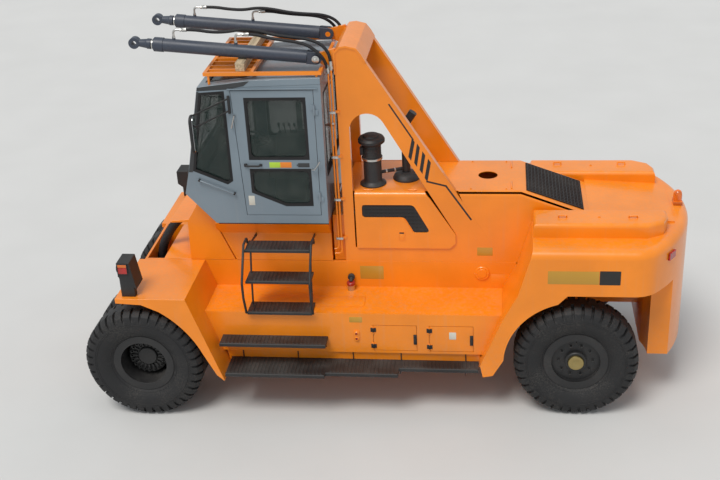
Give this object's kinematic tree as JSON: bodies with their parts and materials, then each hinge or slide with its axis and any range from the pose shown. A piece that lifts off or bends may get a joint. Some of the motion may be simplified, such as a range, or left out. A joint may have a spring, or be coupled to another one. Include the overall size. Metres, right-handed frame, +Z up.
{
  "type": "heavy forklift truck without its mast",
  "caption": "Large counterbalance forklift truck with a cab, tower, counterweight and twin front tyres, its mast taken off and its tilt cylinders lying forward.",
  "frame": {"origin": "on the floor under the middle of the truck", "axes": "+X forward, +Y to the truck's left, +Z up"},
  "size_m": [7.4462, 3.2044, 4.725],
  "materials": {
    "body_orange": "warm orange paint, semi-gloss",
    "cab_blue_grey": "blue-grey paint, semi-gloss",
    "slate_paint": "dark slate paint, satin",
    "dark_metal": "black paint, dusty",
    "black_metal": "black paint, worn",
    "bright_steel": "plated steel",
    "tyre_rubber": "black rubber, dusty",
    "hose_rubber": "black hose cover",
    "black_plastic": "matt black",
    "window_glass": "tinted safety glass",
    "beacon_lens": "orange lens",
    "tail_lens": "red lens",
    "timber_wood": "rough sawn pine"
  },
  "bodies": {
    "root": {"base_hose_left": "hose_rubber", "base_hose_right": "hose_rubber", "beacon": "beacon_lens", "cab_glass": "window_glass", "cab_plinth": "body_orange", "cab_roof": "cab_blue_grey", "cab_shell": "cab_blue_grey", "chassis": "body_orange", "cowl": "body_orange", "drive_axle": "body_orange", "driver_seat": "black_plastic", "engine_block": "black_metal", "exhaust": "black_metal", "front_fender_left": "body_orange", "front_fender_right": "body_orange", "front_lamps": "black_plastic", "hood": "body_orange", "ladder": "black_metal", "mirrors": "black_plastic", "pre_cleaner": "black_plastic", "rear_body": "body_orange", "rod_hose_left": "hose_rubber", "rod_hose_right": "hose_rubber", "roof_guard": "body_orange", "side_box_left": "body_orange", "side_box_right": "body_orange", "steer_axle": "body_orange", "steering_column": "black_plastic", "steps": "black_metal", "tail_lamps": "tail_lens", "timber": "timber_wood", "tower": "body_orange", "tower_pipes": "body_orange", "vent_mesh": "black_plastic"},
    "front_wheel_left": {"front_wheel_left": "dark_metal", "front_tyres_left": "tyre_rubber"},
    "knuckle_left": {"knuckle_left": "dark_metal"},
    "rear_wheel_left": {"rear_wheel_left": "dark_metal", "rear_tyre_left": "tyre_rubber"},
    "locker_door_front_left": {"locker_door_front_left": "body_orange"},
    "locker_door_rear_left": {"locker_door_rear_left": "body_orange"},
    "access_cover_left": {"access_cover_left": "body_orange"},
    "tilt_barrel_left": {"tilt_barrel_left": "slate_paint", "tilt_ports_left": "bright_steel"},
    "tilt_rod_left": {"tilt_rod_left": "slate_paint"},
    "front_wheel_right": {"front_wheel_right": "dark_metal", "front_tyres_right": "tyre_rubber"},
    "knuckle_right": {"knuckle_right": "dark_metal"},
    "rear_wheel_right": {"rear_wheel_right": "dark_metal", "rear_tyre_right": "tyre_rubber"},
    "locker_door_front_right": {"locker_door_front_right": "body_orange"},
    "locker_door_rear_right": {"locker_door_rear_right": "body_orange"},
    "access_cover_right": {"access_cover_right": "body_orange"},
    "tilt_barrel_right": {"tilt_barrel_right": "slate_paint", "tilt_ports_right": "bright_steel"},
    "tilt_rod_right": {"tilt_rod_right": "slate_paint"},
    "cab_door": {"cab_door": "cab_blue_grey", "door_glass": "window_glass"}
  },
  "joints": [
    {"name": "front_spin_left", "type": "hinge", "parent": "root", "child": "front_wheel_left", "pos_m": [2.97675, 1.132, 0.7465], "axis": [0, 1, 0], "continuous": true},
    {"name": "steer_left", "type": "hinge", "parent": "root", "child": "knuckle_left", "pos_m": [-2.35325, 0.96, 0.7465], "axis": [0, 0, 1], "range_deg": [-60, 60]},
    {"name": "rear_spin_left", "type": "hinge", "parent": "knuckle_left", "child": "rear_wheel_left", "pos_m": [-2.35325, 1.14, 0.7465], "axis": [0, 1, 0], "continuous": true},
    {"name": "locker_front_left", "type": "hinge", "parent": "root", "child": "locker_door_front_left", "pos_m": [0.10675, 1.2295, 0.99], "axis": [0, 0, -1], "range_deg": [0, 110]},
    {"name": "locker_rear_left", "type": "hinge", "parent": "root", "child": "locker_door_rear_left", "pos_m": [-0.58325, 1.2295, 0.99], "axis": [0, 0, -1], "range_deg": [0, 110]},
    {"name": "access_left", "type": "hinge", "parent": "root", "child": "access_cover_left", "pos_m": [-0.12325, 0.48, 2.6585], "axis": [1, 0, 0], "range_deg": [0, 70]},
    {"name": "tilt_left", "type": "hinge", "parent": "root", "child": "tilt_barrel_left", "pos_m": [0.70675, 0.5025, 4.3535], "axis": [0, -1, 0], "range_deg": [0, 12], "deforming": ["rod_hose_left", "base_hose_left"]},
    {"name": "rod_left", "type": "slide", "parent": "tilt_barrel_left", "child": "tilt_rod_left", "axis": [0.9954, 0, 0.0958], "range_m": [0, 0.7]},
    {"name": "front_spin_right", "type": "hinge", "parent": "root", "child": "front_wheel_right", "pos_m": [2.97675, -1.132, 0.7465], "axis": [0, 1, 0], "continuous": true},
    {"name": "steer_right", "type": "hinge", "parent": "root", "child": "knuckle_right", "pos_m": [-2.35325, -0.96, 0.7465], "axis": [0, 0, 1], "range_deg": [-60, 60]},
    {"name": "rear_spin_right", "type": "hinge", "parent": "knuckle_right", "child": "rear_wheel_right", "pos_m": [-2.35325, -1.14, 0.7465], "axis": [0, 1, 0], "continuous": true},
    {"name": "locker_front_right", "type": "hinge", "parent": "root", "child": "locker_door_front_right", "pos_m": [0.10675, -1.2295, 0.99], "axis": [0, 0, 1], "range_deg": [0, 110]},
    {"name": "locker_rear_right", "type": "hinge", "parent": "root", "child": "locker_door_rear_right", "pos_m": [-0.58325, -1.2295, 0.99], "axis": [0, 0, 1], "range_deg": [0, 110]},
    {"name": "access_right", "type": "hinge", "parent": "root", "child": "access_cover_right", "pos_m": [-0.12325, -0.48, 2.6585], "axis": [-1, 0, 0], "range_deg": [0, 70]},
    {"name": "tilt_right", "type": "hinge", "parent": "root", "child": "tilt_barrel_right", "pos_m": [0.70675, -0.5025, 4.3535], "axis": [0, -1, 0], "range_deg": [0, 12], "deforming": ["rod_hose_right", "base_hose_right"]},
    {"name": "rod_right", "type": "slide", "parent": "tilt_barrel_right", "child": "tilt_rod_right", "axis": [0.9954, 0, 0.0958], "range_m": [0, 0.7]},
    {"name": "cab_door_swing", "type": "hinge", "parent": "root", "child": "cab_door", "pos_m": [0.73175, 0.7775, 3.2], "axis": [0, 0, 1], "range_deg": [0, 90]}
  ],
  "couplings": [
    {"joint": "steer_right", "follows": "steer_left", "ratio": 1}
  ]
}
